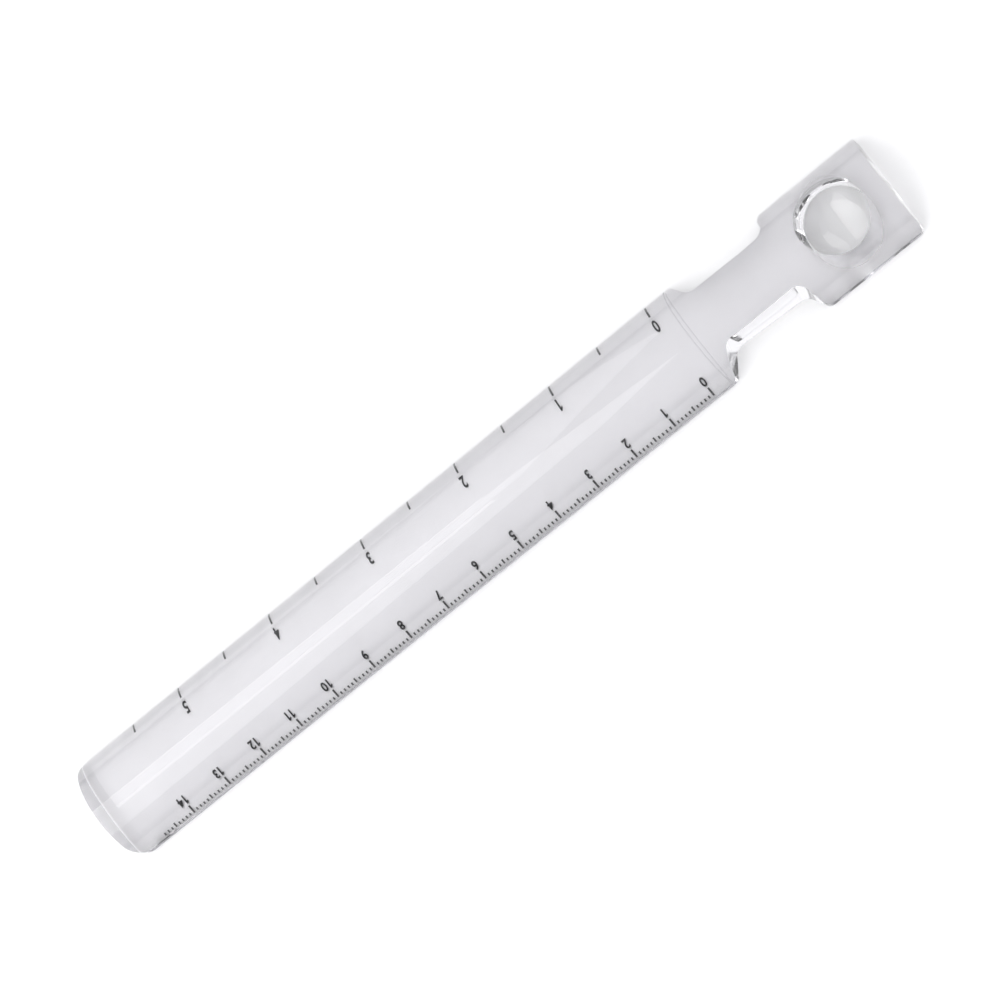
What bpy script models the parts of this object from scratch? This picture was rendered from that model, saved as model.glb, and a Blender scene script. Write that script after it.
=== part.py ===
"""Bar magnifier ruler: a clear domed bar that enlarges the printed scale under it, and a handle with
a narrow neck and a square head that holds a round spot lens.

Metres, +Z up. +X runs from the handle to the bar's free end, +Y to the edge with the centimetre scale.
The origin is under the middle of the whole ruler, on the flat underside that it rests on.
"""

import math

import bmesh
import bpy
from mathutils import Matrix

MM = 0.001

# Driving dimensions
LENGTH = 208.2 * MM
WIDTH = 24.0 * MM
HEIGHT = 10.6 * MM  # crown of the dome above the underside
LAND = 1.2 * MM  # upright edge under the dome
GAP = 0.3 * MM  # clearance between pieces that touch on the real ruler
HANDLE_LENGTH = 48.7 * MM  # end of the head to the seam with the bar

BAR_CORNER_RADIUS = 3.0 * MM
ZERO_FROM_HEAD = 53.2 * MM  # the centimetre scale's zero, from the end of the head
METRIC_SPAN = (-0.3 * MM, 148.3 * MM)  # printed strips, along the bar from that zero
METRIC_SIDES = (4.4 * MM, 9.9 * MM)
INCH_SPAN = (0.3 * MM, 140.7 * MM)
INCH_SIDES = (-9.9 * MM, -4.1 * MM)
STRIP_BOTTOM = 0.05 * MM
STRIP_TOP = 0.2 * MM

HEAD_LENGTH = 24.1 * MM
HEAD_CORNER_RADIUS = 1.5 * MM
HEAD_SHOULDER_RADIUS = 1.8 * MM
NECK_FILLET_RADIUS = 2.8 * MM
NECK_START = 26.5 * MM  # at the underside, from the end of the head, before rounding
NECK_START_TOP = 24.5 * MM  # where the draft meets the dome
NECK_END = 44.0 * MM
NECK_HALF_AT_HEAD = 7.2 * MM  # at the underside
NECK_HALF_AT_BAR = 6.45 * MM
NECK_HALF_TOP = 6.2 * MM  # where the draft meets the dome
NECK_TOP_HEIGHT = 9.05 * MM
SHOULDER_START = 47.6 * MM
SHOULDER_CONCAVE_RADIUS = 2.9 * MM
SHOULDER_CONVEX_RADIUS = 1.5 * MM

LENS_CENTRE = 12.2 * MM  # from the end of the head
BORE_RADIUS = 7.7 * MM
LENS_RADIUS = BORE_RADIUS - GAP
LENS_FACE_RADIUS = 7.0 * MM  # the curved faces, inside a small bevel
LENS_BEVEL = 0.3 * MM
LENS_EDGE_LOW = 1.3 * MM
LENS_EDGE_HIGH = 2.5 * MM
LENS_SAG = 1.0 * MM  # height of each curved face

DOME_STEPS = 64
CORNER_STEPS = 10
FACE_STEPS = 14
ROUND_STEPS = 72
OVERSHOOT = 1.0 * MM  # how far cutters reach past what they cut

# Derived places
HALF_WIDTH = WIDTH / 2
DOME_RISE = HEIGHT - LAND
DOME_RADIUS = (HALF_WIDTH**2 + DOME_RISE**2) / (2 * DOME_RISE)
DOME_CENTRE_Z = HEIGHT - DOME_RADIUS
HEAD_X = -LENGTH / 2
END_X = LENGTH / 2
SEAM_X = HEAD_X + HANDLE_LENGTH
LENS_X = HEAD_X + LENS_CENTRE
STRIPS = (("metric_scale", METRIC_SPAN, METRIC_SIDES), ("inch_scale", INCH_SPAN, INCH_SIDES))


def clear_scene():
    for obj in list(bpy.data.objects):
        bpy.data.objects.remove(obj, do_unlink=True)


def new_collection(name):
    collection = bpy.data.collections.new(name)
    bpy.context.scene.collection.children.link(collection)
    return collection


def plastic(name, colour, roughness, transmission):
    material = bpy.data.materials.new(name)
    material.use_nodes = True
    shader = material.node_tree.nodes["Principled BSDF"]
    shader.inputs["Base Color"].default_value = (*colour, 1.0)
    shader.inputs["Roughness"].default_value = roughness
    shader.inputs["Metallic"].default_value = 0.0
    shader.inputs["IOR"].default_value = 1.49
    shader.inputs["Transmission Weight"].default_value = transmission
    return material


def new_object(name, bm, collection, material=None):
    bmesh.ops.recalc_face_normals(bm, faces=bm.faces)
    mesh = bpy.data.meshes.new(name)
    bm.to_mesh(mesh)
    bm.free()
    mesh.shade_smooth()
    mesh.set_sharp_from_angle(angle=math.radians(20))
    obj = bpy.data.objects.new(name, mesh)
    collection.objects.link(obj)
    if material:
        mesh.materials.append(material)
    return obj


def dome_section():
    """(y, z) points of the flat-bottomed domed section."""
    rise = math.acos(HALF_WIDTH / DOME_RADIUS)
    points = [(HALF_WIDTH, 0.0)]
    for i in range(DOME_STEPS + 1):
        angle = rise + (math.pi - 2 * rise) * i / DOME_STEPS
        points.append((DOME_RADIUS * math.cos(angle), DOME_CENTRE_Z + DOME_RADIUS * math.sin(angle)))
    points.append((-HALF_WIDTH, 0.0))
    return points


def closed_body(loops):
    """A closed body through loops of (x, y, z) points, each loop with as many points as the last."""
    bm = bmesh.new()
    rings = [[bm.verts.new(point) for point in loop] for loop in loops]
    for near, far in zip(rings, rings[1:]):
        for i in range(len(near)):
            j = (i + 1) % len(near)
            bm.faces.new((near[i], near[j], far[j], far[i]))
    bm.faces.new(rings[0])
    bm.faces.new(rings[-1])
    return bm


def domed_stock(start, end):
    """A length of the flat-bottomed domed section, from x = start to x = end."""
    return closed_body([[(x, y, z) for y, z in dome_section()] for x in (start, end)])


def upright_body(low_outline, low_z, high_outline, high_z):
    """A body between a lower and a higher outline of (x, y) points."""
    return closed_body([[(x, y, low_z) for x, y in low_outline], [(x, y, high_z) for x, y in high_outline]])


def rounded_outline(corners):
    """Points of a closed outline whose corners, each (x, y, radius), are rounded by arcs."""
    points = []
    count = len(corners)
    for i, (x, y, radius) in enumerate(corners):
        if not radius:
            points.append((x, y))
            continue
        x_before, y_before, _ = corners[i - 1]
        x_after, y_after, _ = corners[(i + 1) % count]
        turn_in = math.atan2(y - y_before, x - x_before)
        turn_out = math.atan2(y_after - y, x_after - x)
        turn = (turn_out - turn_in + math.pi) % (2 * math.pi) - math.pi
        reach = radius * math.tan(abs(turn) / 2)
        side = math.copysign(1.0, turn)
        start_x = x - reach * math.cos(turn_in)
        start_y = y - reach * math.sin(turn_in)
        centre_x = start_x - side * radius * math.sin(turn_in)
        centre_y = start_y + side * radius * math.cos(turn_in)
        for step in range(CORNER_STEPS + 1):
            angle = turn_in + turn * step / CORNER_STEPS
            x_offset = side * radius * math.sin(angle)
            y_offset = side * radius * math.cos(angle)
            points.append((centre_x + x_offset, centre_y - y_offset))
    return points


def handle_outline(z):
    """The handle seen from above, at height z: the neck's sides lean in as they rise."""
    lean = z / NECK_TOP_HEIGHT
    at_head = NECK_HALF_AT_HEAD + (NECK_HALF_TOP - NECK_HALF_AT_HEAD) * lean
    at_bar = NECK_HALF_AT_BAR + (NECK_HALF_TOP - NECK_HALF_AT_BAR) * lean
    neck_start = NECK_START + (NECK_START_TOP - NECK_START) * lean
    seam = HANDLE_LENGTH - GAP / 2
    half = [
        (0.0, HALF_WIDTH, HEAD_CORNER_RADIUS),
        (HEAD_LENGTH, HALF_WIDTH, HEAD_SHOULDER_RADIUS),
        (neck_start, at_head, NECK_FILLET_RADIUS),
        (NECK_END, at_bar, SHOULDER_CONCAVE_RADIUS),
        (SHOULDER_START, HALF_WIDTH, SHOULDER_CONVEX_RADIUS),
        (seam, HALF_WIDTH, 0.0),
    ]
    other_half = [(x, -y, radius) for x, y, radius in reversed(half)]
    return rounded_outline([(HEAD_X + x, y, radius) for x, y, radius in half + other_half])


def as_cutter(obj):
    obj.hide_render = True
    obj.display_type = "WIRE"
    return obj


def box(low, high):
    outline = [(low[0], low[1]), (high[0], low[1]), (high[0], high[1]), (low[0], high[1])]
    return upright_body(outline, low[2], outline, high[2])


def cylinder_cutter(name, radius, low, high, collection):
    bm = bmesh.new()
    bmesh.ops.create_cone(
        bm,
        cap_ends=True,
        segments=ROUND_STEPS,
        radius1=radius,
        radius2=radius,
        depth=high - low,
        matrix=Matrix.Translation((LENS_X, 0.0, (low + high) / 2)),
    )
    return as_cutter(new_object(name, bm, collection))


def boolean(obj, operation, other):
    modifier = obj.modifiers.new(other.name, "BOOLEAN")
    modifier.operation = operation
    modifier.solver = "EXACT"
    modifier.object = other


def strip_corners(span, sides, low_z, high_z, margin=0.0):
    """Lowest and highest corners of a printed strip's box, grown sideways by margin."""
    zero = HEAD_X + ZERO_FROM_HEAD
    low = (zero + span[0] - margin, sides[0] - margin, low_z)
    high = (zero + span[1] + margin, sides[1] + margin, high_z)
    return low, high


def make_bar_lens(parts, cutters, acrylic):
    """The domed bar, with its free end's corners rounded and a shallow rebate under each printed strip."""
    start = SEAM_X + GAP / 2
    bar = new_object("bar_lens", domed_stock(start, END_X + OVERSHOOT), parts, acrylic)
    corners = [
        (start - OVERSHOOT, HALF_WIDTH + OVERSHOOT, 0.0),
        (start - OVERSHOOT, -HALF_WIDTH - OVERSHOOT, 0.0),
        (END_X - 2 * BAR_CORNER_RADIUS, -HALF_WIDTH - OVERSHOOT, 0.0),
        (END_X - 2 * BAR_CORNER_RADIUS, -HALF_WIDTH, 0.0),
        (END_X, -HALF_WIDTH, BAR_CORNER_RADIUS),
        (END_X, HALF_WIDTH, BAR_CORNER_RADIUS),
        (END_X - 2 * BAR_CORNER_RADIUS, HALF_WIDTH, 0.0),
        (END_X - 2 * BAR_CORNER_RADIUS, HALF_WIDTH + OVERSHOOT, 0.0),
    ]
    plan = rounded_outline(corners)
    block = upright_body(plan, -OVERSHOOT, plan, HEIGHT + OVERSHOOT)
    boolean(bar, "INTERSECT", as_cutter(new_object("bar_plan_cutter", block, cutters)))
    for name, span, sides in STRIPS:
        low, high = strip_corners(span, sides, -OVERSHOOT, STRIP_TOP + GAP, GAP)
        boolean(bar, "DIFFERENCE", as_cutter(new_object(name + "_rebate_cutter", box(low, high), cutters)))


def make_printed_strips(parts, ink):
    """The two printed scales, each a thin strip of ink and carrier under the bar."""
    for name, span, sides in STRIPS:
        low, high = strip_corners(span, sides, STRIP_BOTTOM, STRIP_TOP)
        new_object(name, box(low, high), parts, ink)


def make_handle(parts, cutters, acrylic):
    """Head, neck and shoulder in one moulding, cut from the same domed section as the bar."""
    handle = new_object("handle", domed_stock(HEAD_X - OVERSHOOT, SEAM_X + OVERSHOOT), parts, acrylic)
    low_z, high_z = -OVERSHOOT, HEIGHT + OVERSHOOT
    block = upright_body(handle_outline(low_z), low_z, handle_outline(high_z), high_z)
    boolean(handle, "INTERSECT", as_cutter(new_object("handle_plan_cutter", block, cutters)))
    boolean(handle, "DIFFERENCE", cylinder_cutter("bore_cutter", BORE_RADIUS, low_z, high_z, cutters))


def face_profile(edge_z, side):
    """(r, z) points of a curved lens face from its axis to its rim; side is 1 upwards, -1 downwards."""
    sphere = (LENS_FACE_RADIUS**2 + LENS_SAG**2) / (2 * LENS_SAG)
    opening = math.asin(LENS_FACE_RADIUS / sphere)
    points = []
    for i in range(FACE_STEPS + 1):
        angle = opening * i / FACE_STEPS
        height = sphere * (math.cos(angle) - math.cos(opening))
        points.append((sphere * math.sin(angle), edge_z + side * height))
    return points


def make_spot_lens(parts, acrylic):
    """The round lens, curved on both faces, with a bevelled rim."""
    rim = [(LENS_RADIUS, LENS_EDGE_HIGH - LENS_BEVEL), (LENS_RADIUS, LENS_EDGE_LOW + LENS_BEVEL)]
    profile = face_profile(LENS_EDGE_HIGH, 1) + rim + face_profile(LENS_EDGE_LOW, -1)[::-1]
    bm = bmesh.new()
    verts = [bm.verts.new((r, 0.0, z)) for r, z in profile]
    for first, second in zip(verts, verts[1:]):
        bm.edges.new((first, second))
    bmesh.ops.spin(
        bm,
        geom=bm.verts[:] + bm.edges[:],
        cent=(0.0, 0.0, 0.0),
        axis=(0.0, 0.0, 1.0),
        angle=2 * math.pi,
        steps=ROUND_STEPS,
        use_merge=True,
    )
    bmesh.ops.remove_doubles(bm, verts=bm.verts, dist=1e-6)
    lens = new_object("spot_lens", bm, parts, acrylic)
    lens.location = (LENS_X, 0.0, 0.0)


def build():
    clear_scene()
    parts = new_collection("bar_magnifier_ruler")
    cutters = new_collection("cutters")
    acrylic = plastic("clear_acrylic", (0.93, 0.93, 0.95), 0.03, 1.0)
    lens_acrylic = plastic("lens_acrylic", (0.95, 0.95, 0.96), 0.02, 1.0)
    ink = plastic("scale_ink", (0.02, 0.02, 0.02), 0.5, 0.0)
    make_bar_lens(parts, cutters, acrylic)
    make_printed_strips(parts, ink)
    make_handle(parts, cutters, acrylic)
    make_spot_lens(parts, lens_acrylic)


build()
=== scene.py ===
"""Looks for the bar magnifier ruler: clear acrylic bodies, printed scales, a pale studio and the camera."""

import math

import bmesh
import bpy
from mathutils import Matrix


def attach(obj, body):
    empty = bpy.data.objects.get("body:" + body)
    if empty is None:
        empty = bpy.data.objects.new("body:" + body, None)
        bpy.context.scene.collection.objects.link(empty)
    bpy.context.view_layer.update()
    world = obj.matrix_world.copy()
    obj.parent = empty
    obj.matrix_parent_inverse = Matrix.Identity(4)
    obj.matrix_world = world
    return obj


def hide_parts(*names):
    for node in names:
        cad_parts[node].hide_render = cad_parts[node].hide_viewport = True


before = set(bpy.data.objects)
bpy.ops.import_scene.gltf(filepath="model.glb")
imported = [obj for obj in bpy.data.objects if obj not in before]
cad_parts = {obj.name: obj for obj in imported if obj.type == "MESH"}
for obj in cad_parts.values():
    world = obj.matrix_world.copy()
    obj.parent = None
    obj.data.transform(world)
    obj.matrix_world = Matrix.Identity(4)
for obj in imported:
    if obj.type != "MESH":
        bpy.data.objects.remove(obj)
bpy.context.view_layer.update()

MM = 0.001

# The object's own sizes, as the CAD model has them
LENGTH = 208.2 * MM
WIDTH = 24.0 * MM
HEIGHT = 10.6 * MM
LAND = 1.2 * MM
SEAM_GAP = -0.02 * MM  # below zero, so the bonded pieces overlap a little
HANDLE_LENGTH = 48.7 * MM
HEAD_X = -LENGTH / 2
END_X = LENGTH / 2
SEAM_X = HEAD_X + HANDLE_LENGTH
ZERO_X = HEAD_X + 53.2 * MM
LENS_X = HEAD_X + 12.2 * MM
DOME_RISE = HEIGHT - LAND
DOME_RADIUS = ((WIDTH / 2) ** 2 + DOME_RISE**2) / (2 * DOME_RISE)
DOME_CENTRE_Z = HEIGHT - DOME_RADIUS
BAR_CORNER_RADIUS = 3.0 * MM
BORE_RADIUS = 7.7 * MM
LENS_RADIUS = 7.4 * MM
LENS_FACE_RADIUS = 7.0 * MM
LENS_BEVEL = 0.3 * MM
LENS_EDGE_LOW = 1.3 * MM
LENS_EDGE_HIGH = 2.5 * MM
LENS_SAG = 1.0 * MM

# The handle's outline: x from the end of the head, and half widths that lean in from the underside to the top
HEAD_LENGTH = 24.1 * MM
HEAD_CORNER_RADIUS = 1.5 * MM
HEAD_SHOULDER_RADIUS = 1.8 * MM
NECK_START = 26.5 * MM
NECK_START_TOP = 24.5 * MM
NECK_FILLET_RADIUS = 2.8 * MM
NECK_END = 44.0 * MM
NECK_HALF_AT_HEAD = 7.2 * MM
NECK_HALF_AT_BAR = 6.45 * MM
NECK_HALF_TOP = 6.2 * MM
NECK_TOP_Z = 9.05 * MM
SHOULDER_START = 47.6 * MM
SHOULDER_CONCAVE_RADIUS = 2.9 * MM
SHOULDER_CONVEX_RADIUS = 1.5 * MM

# Only in this file: softened edges, and how far cutters reach past what they cut
EDGE_BEVEL = 0.22 * MM
BEVEL_ANGLE = math.radians(32)
SHARP_ANGLE = math.radians(36)
OVERSHOOT = 1.0 * MM


# Meshes


def make_object(name, bm, smooth_angle=25.0):
    bmesh.ops.recalc_face_normals(bm, faces=bm.faces)
    mesh = bpy.data.meshes.new(name)
    bm.to_mesh(mesh)
    bm.free()
    mesh.shade_smooth()
    mesh.set_sharp_from_angle(angle=math.radians(smooth_angle))
    obj = bpy.data.objects.new(name, mesh)
    bpy.context.scene.collection.objects.link(obj)
    return obj


def closed_body(loops):
    bm = bmesh.new()
    rings = [[bm.verts.new(point) for point in loop] for loop in loops]
    for near, far in zip(rings, rings[1:]):
        for i in range(len(near)):
            j = (i + 1) % len(near)
            bm.faces.new((near[i], near[j], far[j], far[i]))
    bm.faces.new(rings[0])
    bm.faces.new(rings[-1])
    bmesh.ops.recalc_face_normals(bm, faces=bm.faces)
    return bm


def dome_section(steps=128):
    rise = math.acos(WIDTH / 2 / DOME_RADIUS)
    points = [(WIDTH / 2, 0.0)]
    for i in range(steps + 1):
        angle = rise + (math.pi - 2 * rise) * i / steps
        points.append((DOME_RADIUS * math.cos(angle), DOME_CENTRE_Z + DOME_RADIUS * math.sin(angle)))
    points.append((-WIDTH / 2, 0.0))
    return points


def domed_stock(start, end):
    return closed_body([[(x, y, z) for y, z in dome_section()] for x in (start, end)])


def rounded_outline(corners, steps=16):
    points = []
    for i, (x, y, radius) in enumerate(corners):
        if not radius:
            points.append((x, y))
            continue
        x_before, y_before, _ = corners[i - 1]
        x_after, y_after, _ = corners[(i + 1) % len(corners)]
        turn_in = math.atan2(y - y_before, x - x_before)
        turn_out = math.atan2(y_after - y, x_after - x)
        turn = (turn_out - turn_in + math.pi) % (2 * math.pi) - math.pi
        reach = radius * math.tan(abs(turn) / 2)
        side = math.copysign(1.0, turn)
        centre_x = x - reach * math.cos(turn_in) - side * radius * math.sin(turn_in)
        centre_y = y - reach * math.sin(turn_in) + side * radius * math.cos(turn_in)
        for step in range(steps + 1):
            angle = turn_in + turn * step / steps
            along_x = side * radius * math.sin(angle)
            along_y = side * radius * math.cos(angle)
            points.append((centre_x + along_x, centre_y - along_y))
    return points


def upright_body(low_outline, low_z, high_outline, high_z):
    return closed_body([[(x, y, low_z) for x, y in low_outline], [(x, y, high_z) for x, y in high_outline]])


def handle_outline(z):
    """The handle seen from above, as it is at height z: its neck's walls lean inwards."""
    lean = z / NECK_TOP_Z
    at_head = NECK_HALF_AT_HEAD + (NECK_HALF_TOP - NECK_HALF_AT_HEAD) * lean
    at_bar = NECK_HALF_AT_BAR + (NECK_HALF_TOP - NECK_HALF_AT_BAR) * lean
    neck_start = NECK_START + (NECK_START_TOP - NECK_START) * lean
    half = [
        (0.0, WIDTH / 2, HEAD_CORNER_RADIUS),
        (HEAD_LENGTH, WIDTH / 2, HEAD_SHOULDER_RADIUS),
        (neck_start, at_head, NECK_FILLET_RADIUS),
        (NECK_END, at_bar, SHOULDER_CONCAVE_RADIUS),
        (SHOULDER_START, WIDTH / 2, SHOULDER_CONVEX_RADIUS),
        (HANDLE_LENGTH - SEAM_GAP / 2, WIDTH / 2, 0.0),
    ]
    other_half = [(x, -y, radius) for x, y, radius in reversed(half)]
    return rounded_outline([(HEAD_X + x, y, radius) for x, y, radius in half + other_half])


def apply_modifiers(obj):
    bpy.context.view_layer.update()
    graph = bpy.context.evaluated_depsgraph_get()
    mesh = bpy.data.meshes.new_from_object(obj.evaluated_get(graph))
    obj.modifiers.clear()
    obj.data = mesh


def cut(obj, operation, bm):
    cutter = make_object("cutter", bm)
    modifier = obj.modifiers.new("cut", "BOOLEAN")
    modifier.operation = operation
    modifier.solver = "EXACT"
    modifier.object = cutter
    apply_modifiers(obj)
    bpy.data.objects.remove(cutter, do_unlink=True)


def soften_edges(obj, width=EDGE_BEVEL):
    """Rounds the sharp edges a little and shades the rest smooth."""
    bm = bmesh.new()
    bm.from_mesh(obj.data)
    bmesh.ops.remove_doubles(bm, verts=bm.verts, dist=1e-6)
    bmesh.ops.dissolve_limit(bm, angle_limit=math.radians(0.05), verts=bm.verts, edges=bm.edges)
    bm.to_mesh(obj.data)
    bm.free()
    modifier = obj.modifiers.new("soft_edges", "BEVEL")
    modifier.width = width
    modifier.segments = 3
    modifier.limit_method = "ANGLE"
    modifier.angle_limit = BEVEL_ANGLE
    modifier.harden_normals = False
    modifier.use_clamp_overlap = True
    apply_modifiers(obj)
    obj.data.shade_smooth()
    obj.data.set_sharp_from_angle(angle=SHARP_ANGLE)
    # The small rounding faces would tilt the long faces' shading, so the large faces set the normals
    modifier = obj.modifiers.new("normals", "WEIGHTED_NORMAL")
    modifier.mode = "FACE_AREA"
    modifier.weight = 50
    modifier.keep_sharp = True
    apply_modifiers(obj)


def make_bar():
    start = SEAM_X + SEAM_GAP / 2
    bar = make_object("bar_lens_clear", domed_stock(start, END_X + OVERSHOOT))
    corners = [
        (start - OVERSHOOT, WIDTH / 2 + OVERSHOOT, 0.0),
        (start - OVERSHOOT, -WIDTH / 2 - OVERSHOOT, 0.0),
        (END_X - 2 * BAR_CORNER_RADIUS, -WIDTH / 2 - OVERSHOOT, 0.0),
        (END_X - 2 * BAR_CORNER_RADIUS, -WIDTH / 2, 0.0),
        (END_X, -WIDTH / 2, BAR_CORNER_RADIUS),
        (END_X, WIDTH / 2, BAR_CORNER_RADIUS),
        (END_X - 2 * BAR_CORNER_RADIUS, WIDTH / 2, 0.0),
        (END_X - 2 * BAR_CORNER_RADIUS, WIDTH / 2 + OVERSHOOT, 0.0),
    ]
    plan = rounded_outline(corners)
    cut(bar, "INTERSECT", upright_body(plan, -OVERSHOOT, plan, HEIGHT + OVERSHOOT))
    soften_edges(bar)
    return bar


def cylinder(radius, low, high, steps=128):
    circle = [
        (LENS_X + radius * math.cos(2 * math.pi * i / steps), radius * math.sin(2 * math.pi * i / steps))
        for i in range(steps)
    ]
    return upright_body(circle, low, circle, high)


def make_handle():
    handle = make_object("handle_clear", domed_stock(HEAD_X - OVERSHOOT, SEAM_X + OVERSHOOT))
    low_z, high_z = -OVERSHOOT, HEIGHT + OVERSHOOT
    cut(handle, "INTERSECT", upright_body(handle_outline(low_z), low_z, handle_outline(high_z), high_z))
    cut(handle, "DIFFERENCE", cylinder(BORE_RADIUS, low_z, high_z))
    soften_edges(handle)
    return handle


def turned(name, profile, steps=128):
    """A closed body turned from (r, z) points that start and end on the axis."""
    bm = bmesh.new()
    low = bm.verts.new((0.0, 0.0, profile[0][1]))
    high = bm.verts.new((0.0, 0.0, profile[-1][1]))
    angles = [2 * math.pi * i / steps for i in range(steps)]
    rings = [
        [bm.verts.new((r * math.cos(angle), r * math.sin(angle), z)) for angle in angles]
        for r, z in profile[1:-1]
    ]
    for i in range(steps):
        j = (i + 1) % steps
        bm.faces.new((low, rings[0][j], rings[0][i]))
        bm.faces.new((high, rings[-1][i], rings[-1][j]))
        for near, far in zip(rings, rings[1:]):
            bm.faces.new((near[i], near[j], far[j], far[i]))
    return make_object(name, bm, 28.0)


def lens_face(edge_z, side, steps=24):
    sphere = (LENS_FACE_RADIUS**2 + LENS_SAG**2) / (2 * LENS_SAG)
    opening = math.asin(LENS_FACE_RADIUS / sphere)
    points = []
    for i in range(steps + 1):
        angle = opening * i / steps
        height = sphere * (math.cos(angle) - math.cos(opening))
        points.append((sphere * math.sin(angle), edge_z + side * height))
    return points


def make_lens():
    rim = [(LENS_RADIUS, LENS_EDGE_LOW + LENS_BEVEL), (LENS_RADIUS, LENS_EDGE_HIGH - LENS_BEVEL)]
    profile = lens_face(LENS_EDGE_LOW, -1) + rim + lens_face(LENS_EDGE_HIGH, 1)[::-1]
    lens = turned("spot_lens_clear", profile)
    lens.data.transform(Matrix.Translation((LENS_X, 0.0, 0.0)))
    return lens


# Printed scales

INK_LOW = 0.03 * MM
INK_THICKNESS = 0.03 * MM
METRIC_OUTER = 9.85 * MM
METRIC_ENDS = {"unit": 7.45 * MM, "half": 8.45 * MM, "small": 8.95 * MM}
METRIC_DIGIT_TOP = 6.95 * MM
METRIC_DIGIT_BASE = 4.95 * MM
INCH_OUTER = -9.85 * MM
INCH_ENDS = {"unit": -7.0 * MM, "half": -7.4 * MM}
INCH_DIGIT_TOP = -4.3 * MM
INCH_DIGIT_BASE = -6.3 * MM
INCH_ZERO = 0.65 * MM
INCH = 25.4 * MM
TICK = 0.36 * MM
DIGIT_SQUEEZE = 0.86
DIGIT_BOLD = 0.025
DIGIT_SPACE = 0.2
TWO_DIGIT_SHIFT = 0.4 * MM
LONG_TICK = 1.15  # times the width of a small tick
# The figure 1, in units of its height: the stem, then the flag's tip
FIGURE_ONE = ((0.0, 0.0), (0.17, 0.0), (0.17, 1.0), (0.03, 1.0), (-0.17, 0.8), (-0.17, 0.64), (0.0, 0.76))


def add_bar(bm, x, y_from, y_to, width):
    size = (width, abs(y_to - y_from), INK_THICKNESS)
    middle = (x, (y_from + y_to) / 2, INK_LOW + INK_THICKNESS / 2)
    bmesh.ops.create_cube(bm, size=1.0, matrix=Matrix.Translation(middle) @ Matrix.Diagonal((*size, 1.0)))


def flat_figure(figure):
    """(mesh, width) of one flat figure, 1 high with its lower left corner at the origin."""
    flat = bmesh.new()
    if figure == "1":
        flat.faces.new([flat.verts.new((x, y, 0.0)) for x, y in FIGURE_ONE])
    else:
        curve = bpy.data.curves.new("figure", "FONT")
        curve.body = figure
        curve.offset = DIGIT_BOLD
        text = bpy.data.objects.new("figure", curve)
        bpy.context.scene.collection.objects.link(text)
        bpy.context.view_layer.update()
        mesh = bpy.data.meshes.new_from_object(text.evaluated_get(bpy.context.evaluated_depsgraph_get()))
        flat.from_mesh(mesh)
        bpy.data.meshes.remove(mesh)
        bpy.data.objects.remove(text, do_unlink=True)
        bpy.data.curves.remove(curve)
        bmesh.ops.remove_doubles(flat, verts=flat.verts, dist=1e-5)
    left, low = min(v.co.x for v in flat.verts), min(v.co.y for v in flat.verts)
    tall = max(v.co.y for v in flat.verts) - low
    squeeze = 1.0 if figure == "1" else DIGIT_SQUEEZE
    for v in flat.verts:
        v.co = ((v.co.x - left) / tall * squeeze, (v.co.y - low) / tall, 0.0)
    return flat, max(v.co.x for v in flat.verts)


def add_number(bm, number, x, top, base):
    """A number with its middle at x and its figures between base and top."""
    figures = [flat_figure(figure) for figure in str(number)]
    tall = top - base
    start = x - tall * (sum(width for _, width in figures) + DIGIT_SPACE * (len(figures) - 1)) / 2
    for flat, width in figures:
        for v in flat.verts:
            v.co = (v.co.x * tall + start, v.co.y * tall + base, INK_LOW)
        raised = bmesh.ops.extrude_face_region(flat, geom=flat.faces[:])["geom"]
        for item in raised:
            if isinstance(item, bmesh.types.BMVert):
                item.co.z = INK_LOW + INK_THICKNESS
        bmesh.ops.recalc_face_normals(flat, faces=flat.faces)
        mesh = bpy.data.meshes.new("figure")
        flat.to_mesh(mesh)
        flat.free()
        bm.from_mesh(mesh)
        bpy.data.meshes.remove(mesh)
        start += tall * (width + DIGIT_SPACE)


def make_metric_print():
    bm = bmesh.new()
    for tick in range(149):
        kind = "unit" if tick % 10 == 0 else "half" if tick % 5 == 0 else "small"
        width = TICK * (LONG_TICK if kind == "unit" else 1.0)
        add_bar(bm, ZERO_X + tick * MM, METRIC_OUTER, METRIC_ENDS[kind], width)
    for number in range(15):
        shift = TWO_DIGIT_SHIFT if number > 9 else 0.0
        add_number(bm, number, ZERO_X + number * 10 * MM + shift, METRIC_DIGIT_TOP, METRIC_DIGIT_BASE)
    return make_object("metric_print", bm)


def make_inch_print():
    bm = bmesh.new()
    zero = ZERO_X + INCH_ZERO
    for half in range(12):
        kind = "unit" if half % 2 == 0 else "half"
        add_bar(bm, zero + half * INCH / 2, INCH_OUTER, INCH_ENDS[kind], TICK * LONG_TICK)
    for number in range(6):
        add_number(bm, number, zero + number * INCH, INCH_DIGIT_TOP, INCH_DIGIT_BASE)
    return make_object("inch_print", bm)


# Materials

ACRYLIC_IOR = 1.49
# The dark tint is painted shade, standing in for the dark lines that light draws along the centimetre edge
# and the seam
PAINTED_SHADE_TINT = (0.3, 0.3, 0.33, 1.0)
PAINTED_SHADE_REACH = 0.08 * MM
BOND_REACH = 0.04 * MM
MOTTLE_SCALE = 60.0
HAZE_SCALE = 400.0
RIPPLE_SCALE = 90.0
RIPPLE_DEPTH = 0.1 * MM
RIPPLE_STRETCH = (0.35, 1.0, 1.0)
INK_GRAIN_SCALE = 2500.0
INK_DARK, INK_LIGHT = (0.006, 0.006, 0.007), (0.03, 0.03, 0.032)

def new_material(name):
    material = bpy.data.materials.new(name)
    material.use_nodes = True
    tree = material.node_tree
    return material, tree, tree.nodes["Principled BSDF"]


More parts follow.
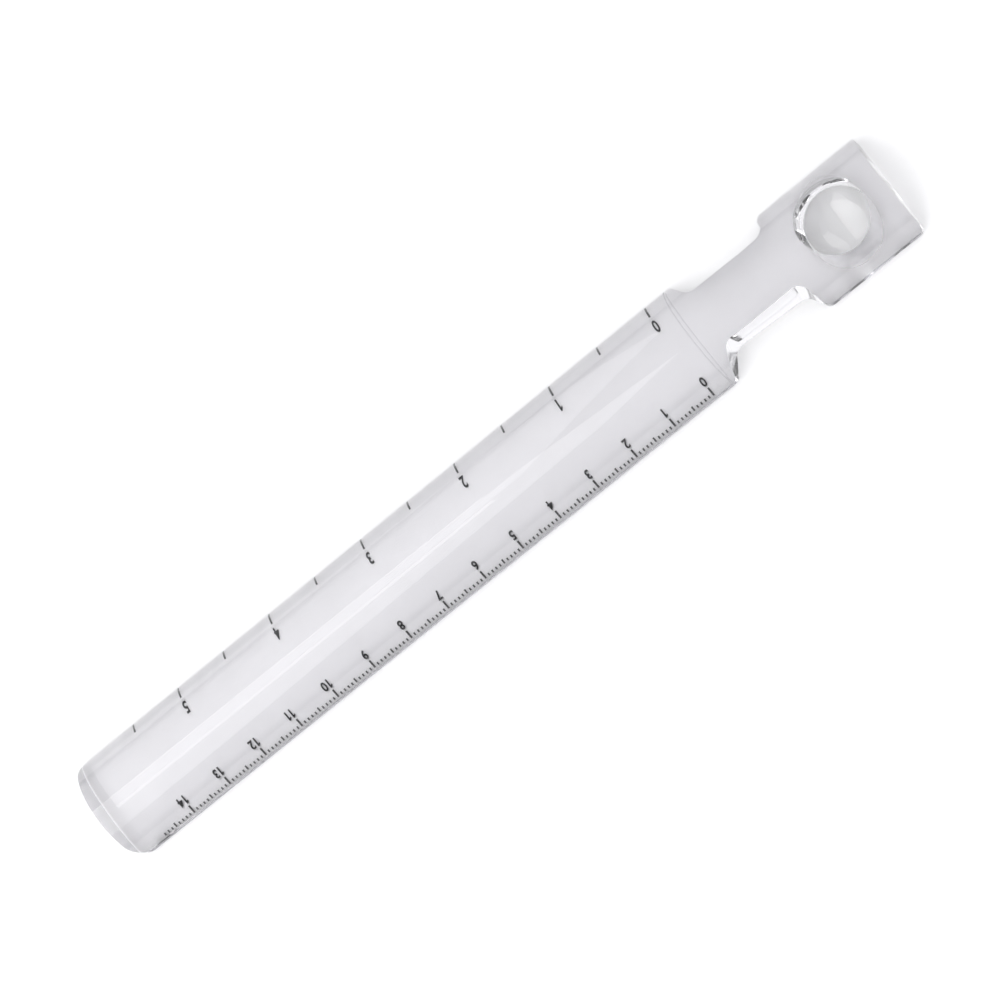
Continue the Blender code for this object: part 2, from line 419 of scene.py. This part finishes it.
def noise(tree, scale, detail=3.0, stretch=None):
    coordinates = tree.nodes.new("ShaderNodeTexCoord")
    texture = tree.nodes.new("ShaderNodeTexNoise")
    texture.inputs["Scale"].default_value = scale
    texture.inputs["Detail"].default_value = detail
    if stretch:
        mapping = tree.nodes.new("ShaderNodeMapping")
        mapping.inputs["Scale"].default_value = stretch
        tree.links.new(coordinates.outputs["Object"], mapping.inputs["Vector"])
        tree.links.new(mapping.outputs["Vector"], texture.inputs["Vector"])
    else:
        tree.links.new(coordinates.outputs["Object"], texture.inputs["Vector"])
    return texture.outputs["Fac"]


def ramp(tree, factor, low, high, low_at=0.3, high_at=0.7):
    node = tree.nodes.new("ShaderNodeValToRGB")
    node.color_ramp.elements[0].position = low_at
    node.color_ramp.elements[0].color = (*low, 1.0)
    node.color_ramp.elements[1].position = high_at
    node.color_ramp.elements[1].color = (*high, 1.0)
    tree.links.new(factor, node.inputs["Fac"])
    return node.outputs["Color"]


def spread(tree, factor, low, high):
    node = tree.nodes.new("ShaderNodeMapRange")
    node.inputs["From Min"].default_value = 0.3
    node.inputs["From Max"].default_value = 0.7
    node.inputs["To Min"].default_value = low
    node.inputs["To Max"].default_value = high
    tree.links.new(factor, node.inputs["Value"])
    return node.outputs["Result"]


def near_plane(tree, axis, place, reach):
    """1 where the object's own coordinate is within reach of the place, 0 elsewhere."""
    coordinates = tree.nodes.new("ShaderNodeTexCoord")
    split = tree.nodes.new("ShaderNodeSeparateXYZ")
    compare = tree.nodes.new("ShaderNodeMath")
    compare.operation = "COMPARE"
    compare.inputs[1].default_value = place
    compare.inputs[2].default_value = reach
    tree.links.new(coordinates.outputs["Object"], split.inputs["Vector"])
    tree.links.new(split.outputs[axis], compare.inputs[0])
    return compare.outputs["Value"]


def bond(tree, shader):
    """Lets light straight through the bonded faces at the seam, where there is no air to bend it."""
    clear = tree.nodes.new("ShaderNodeBsdfTransparent")
    mix = tree.nodes.new("ShaderNodeMixShader")
    tree.links.new(near_plane(tree, "X", SEAM_X, BOND_REACH), mix.inputs["Fac"])
    tree.links.new(shader.outputs["BSDF"], mix.inputs[1])
    tree.links.new(clear.outputs["BSDF"], mix.inputs[2])
    tree.links.new(mix.outputs["Shader"], tree.nodes["Material Output"].inputs["Surface"])


def with_dark_lines(tree, color):
    """The colour, but darker on the centimetre side's upright edge and along the seam: painted shade for the
    dark lines that light draws there.
    """
    lines = tree.nodes.new("ShaderNodeMath")
    lines.operation = "MAXIMUM"
    tree.links.new(near_plane(tree, "Y", WIDTH / 2, PAINTED_SHADE_REACH), lines.inputs[0])
    tree.links.new(near_plane(tree, "X", SEAM_X, PAINTED_SHADE_REACH), lines.inputs[1])
    mix = tree.nodes.new("ShaderNodeMix")
    mix.data_type = "RGBA"
    mix.inputs["B"].default_value = PAINTED_SHADE_TINT
    tree.links.new(lines.outputs["Value"], mix.inputs["Factor"])
    tree.links.new(color, mix.inputs["A"])
    return mix.outputs["Result"]


def clear_acrylic(name, low, high, roughness, ripple):
    """Clear acrylic with a faint cloudiness and moulding ripple."""
    material, tree, shader = new_material(name)
    shader.inputs["IOR"].default_value = ACRYLIC_IOR
    shader.inputs["Transmission Weight"].default_value = 1.0
    color = ramp(tree, noise(tree, MOTTLE_SCALE), low, high)
    # Painted shade: the acrylic is darker along the centimetre side's upright edge and along the seam
    tree.links.new(with_dark_lines(tree, color), shader.inputs["Base Color"])
    tree.links.new(spread(tree, noise(tree, HAZE_SCALE), *roughness), shader.inputs["Roughness"])
    bump = tree.nodes.new("ShaderNodeBump")
    bump.inputs["Strength"].default_value = ripple
    bump.inputs["Distance"].default_value = RIPPLE_DEPTH
    tree.links.new(noise(tree, RIPPLE_SCALE, 2.0, RIPPLE_STRETCH), bump.inputs["Height"])
    tree.links.new(bump.outputs["Normal"], shader.inputs["Normal"])
    bond(tree, shader)
    return material


def ink_material():
    material, tree, shader = new_material("black_print")
    color = ramp(tree, noise(tree, INK_GRAIN_SCALE), INK_DARK, INK_LIGHT)
    tree.links.new(color, shader.inputs["Base Color"])
    shader.inputs["Roughness"].default_value = 0.6
    return material


def give(obj, material, node):
    obj.data.materials.clear()
    obj.data.materials.append(material)
    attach(obj, "root")
    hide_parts(node)


acrylic = clear_acrylic("clear_acrylic", (0.89, 0.885, 0.9), (0.91, 0.905, 0.92), (0.0, 0.012), 0.008)
# The lens's acrylic is a lighter copy of the bar's: painted light that makes the lens read brighter
lens_acrylic = clear_acrylic("lens_acrylic", (0.985, 0.985, 0.99), (1.0, 1.0, 1.0), (0.0, 0.008), 0.005)
ink = ink_material()

give(make_bar(), acrylic, "bar_lens")
give(make_handle(), acrylic, "handle")
give(make_lens(), lens_acrylic, "spot_lens")
give(make_metric_print(), ink, "metric_scale")
give(make_inch_print(), ink, "inch_scale")


# Studio


FLOOR_HALF = 12.0
FLOOR_Z = -0.2 * MM
FLOOR_GRAIN_SCALE = 200.0
FLOOR_DARK, FLOOR_LIGHT = (0.93, 0.93, 0.93), (0.95, 0.95, 0.95)
# (sine of the elevation, colour) of the sky's light
SKY = ((0.1, (0.118, 0.118, 0.129, 1.0)), (0.3, (1.17, 1.17, 1.19, 1.0)), (1.0, (1.1, 1.1, 1.12, 1.0)))
CAMERA_PLACE = (-0.1409, 0.178, 0.640)
CAMERA_TILT = (-0.2756, -0.1987, 0.0515)
CAMERA_ROLL = math.radians(141.3)
CAMERA_LENS = 119.41


def make_floor():
    bm = bmesh.new()
    middle = Matrix.Translation((0.0, 0.0, FLOOR_Z))
    bmesh.ops.create_grid(bm, x_segments=1, y_segments=1, size=FLOOR_HALF, matrix=middle)
    floor = make_object("floor", bm)
    material, tree, shader = new_material("floor_paper")
    color = ramp(tree, noise(tree, FLOOR_GRAIN_SCALE), FLOOR_DARK, FLOOR_LIGHT)
    tree.links.new(color, shader.inputs["Base Color"])
    shader.inputs["Roughness"].default_value = 0.9
    shader.inputs["Specular IOR Level"].default_value = 0.0
    floor.data.materials.append(material)


def make_world():
    """A bright sky that falls off towards the horizon."""
    world = bpy.data.worlds.new("studio")
    bpy.context.scene.world = world
    world.use_nodes = True
    tree = world.node_tree
    background = tree.nodes["Background"]
    coordinates = tree.nodes.new("ShaderNodeTexCoord")
    split = tree.nodes.new("ShaderNodeSeparateXYZ")
    tree.links.new(coordinates.outputs["Generated"], split.inputs["Vector"])
    node = tree.nodes.new("ShaderNodeValToRGB")
    stops = node.color_ramp.elements
    low, middle, high = SKY
    stops[0].position, stops[0].color = low
    stops[1].position, stops[1].color = high
    stops.new(middle[0]).color = middle[1]
    tree.links.new(split.outputs["Z"], node.inputs["Fac"])
    tree.links.new(node.outputs["Color"], background.inputs["Color"])
    background.inputs["Strength"].default_value = 1.0


# A wide panel whose reflection in the dome is a wedge that narrows towards the handle, its brighter
# lower rim, and a panel placed for the spot lens to reflect
KEY_OUTLINE = ((0.07, 0.1), (0.17, -0.19), (0.7, -0.24), (0.7, 0.98), (0.45, 0.78), (0.13, 0.36))
KEY_RIM = ((0.19, -0.2), (0.6, -0.23), (0.6, -0.27), (0.19, -0.23))
LENS_WINDOW = ((-0.06, -0.6), (-0.06, 0.15), (-0.5, 0.15), (-0.5, -0.6))


def make_panel(name, outline, height, strength, lights=True):
    """A flat glowing panel over the object, facing down. It is only reflected if it doesn't light."""
    bm = bmesh.new()
    bm.faces.new([bm.verts.new((x, y, height)) for x, y in outline])
    panel = make_object(name, bm)
    material = bpy.data.materials.new(name)
    material.use_nodes = True
    tree = material.node_tree
    glow = tree.nodes.new("ShaderNodeEmission")
    glow.inputs["Strength"].default_value = strength
    tree.links.new(glow.outputs["Emission"], tree.nodes["Material Output"].inputs["Surface"])
    panel.data.materials.append(material)
    if not lights:
        panel.visible_diffuse = False
        panel.visible_transmission = False


def make_camera():
    data = bpy.data.cameras.new("camera")
    data.sensor_width = 36.0
    data.lens = CAMERA_LENS
    data.clip_start, data.clip_end = 0.01, 10.0
    camera = bpy.data.objects.new("camera", data)
    tilt = Matrix.Identity(3)
    for angle, axis in zip(CAMERA_TILT, "XYZ"):
        tilt = Matrix.Rotation(angle, 3, axis) @ tilt
    roll = Matrix.Rotation(CAMERA_ROLL, 3, "Z")
    camera.matrix_world = Matrix.Translation(CAMERA_PLACE) @ (tilt @ roll).to_4x4()
    bpy.context.scene.collection.objects.link(camera)
    bpy.context.scene.camera = camera


make_floor()
make_world()
make_panel("key_panel", KEY_OUTLINE, 0.9, 2.9)
make_panel("key_rim", KEY_RIM, 0.895, 4.2)
make_panel("lens_window", LENS_WINDOW, 0.89, 3.0, lights=False)
make_camera()
bpy.context.scene.view_settings.view_transform = "Standard"
# The floor under the acrylic is lit only by light bent through it
bpy.context.scene.cycles.caustics_refractive = True
bpy.context.scene.cycles.caustics_reflective = True
bpy.context.scene.cycles.max_bounces = 32
bpy.context.scene.cycles.transmission_bounces = 32
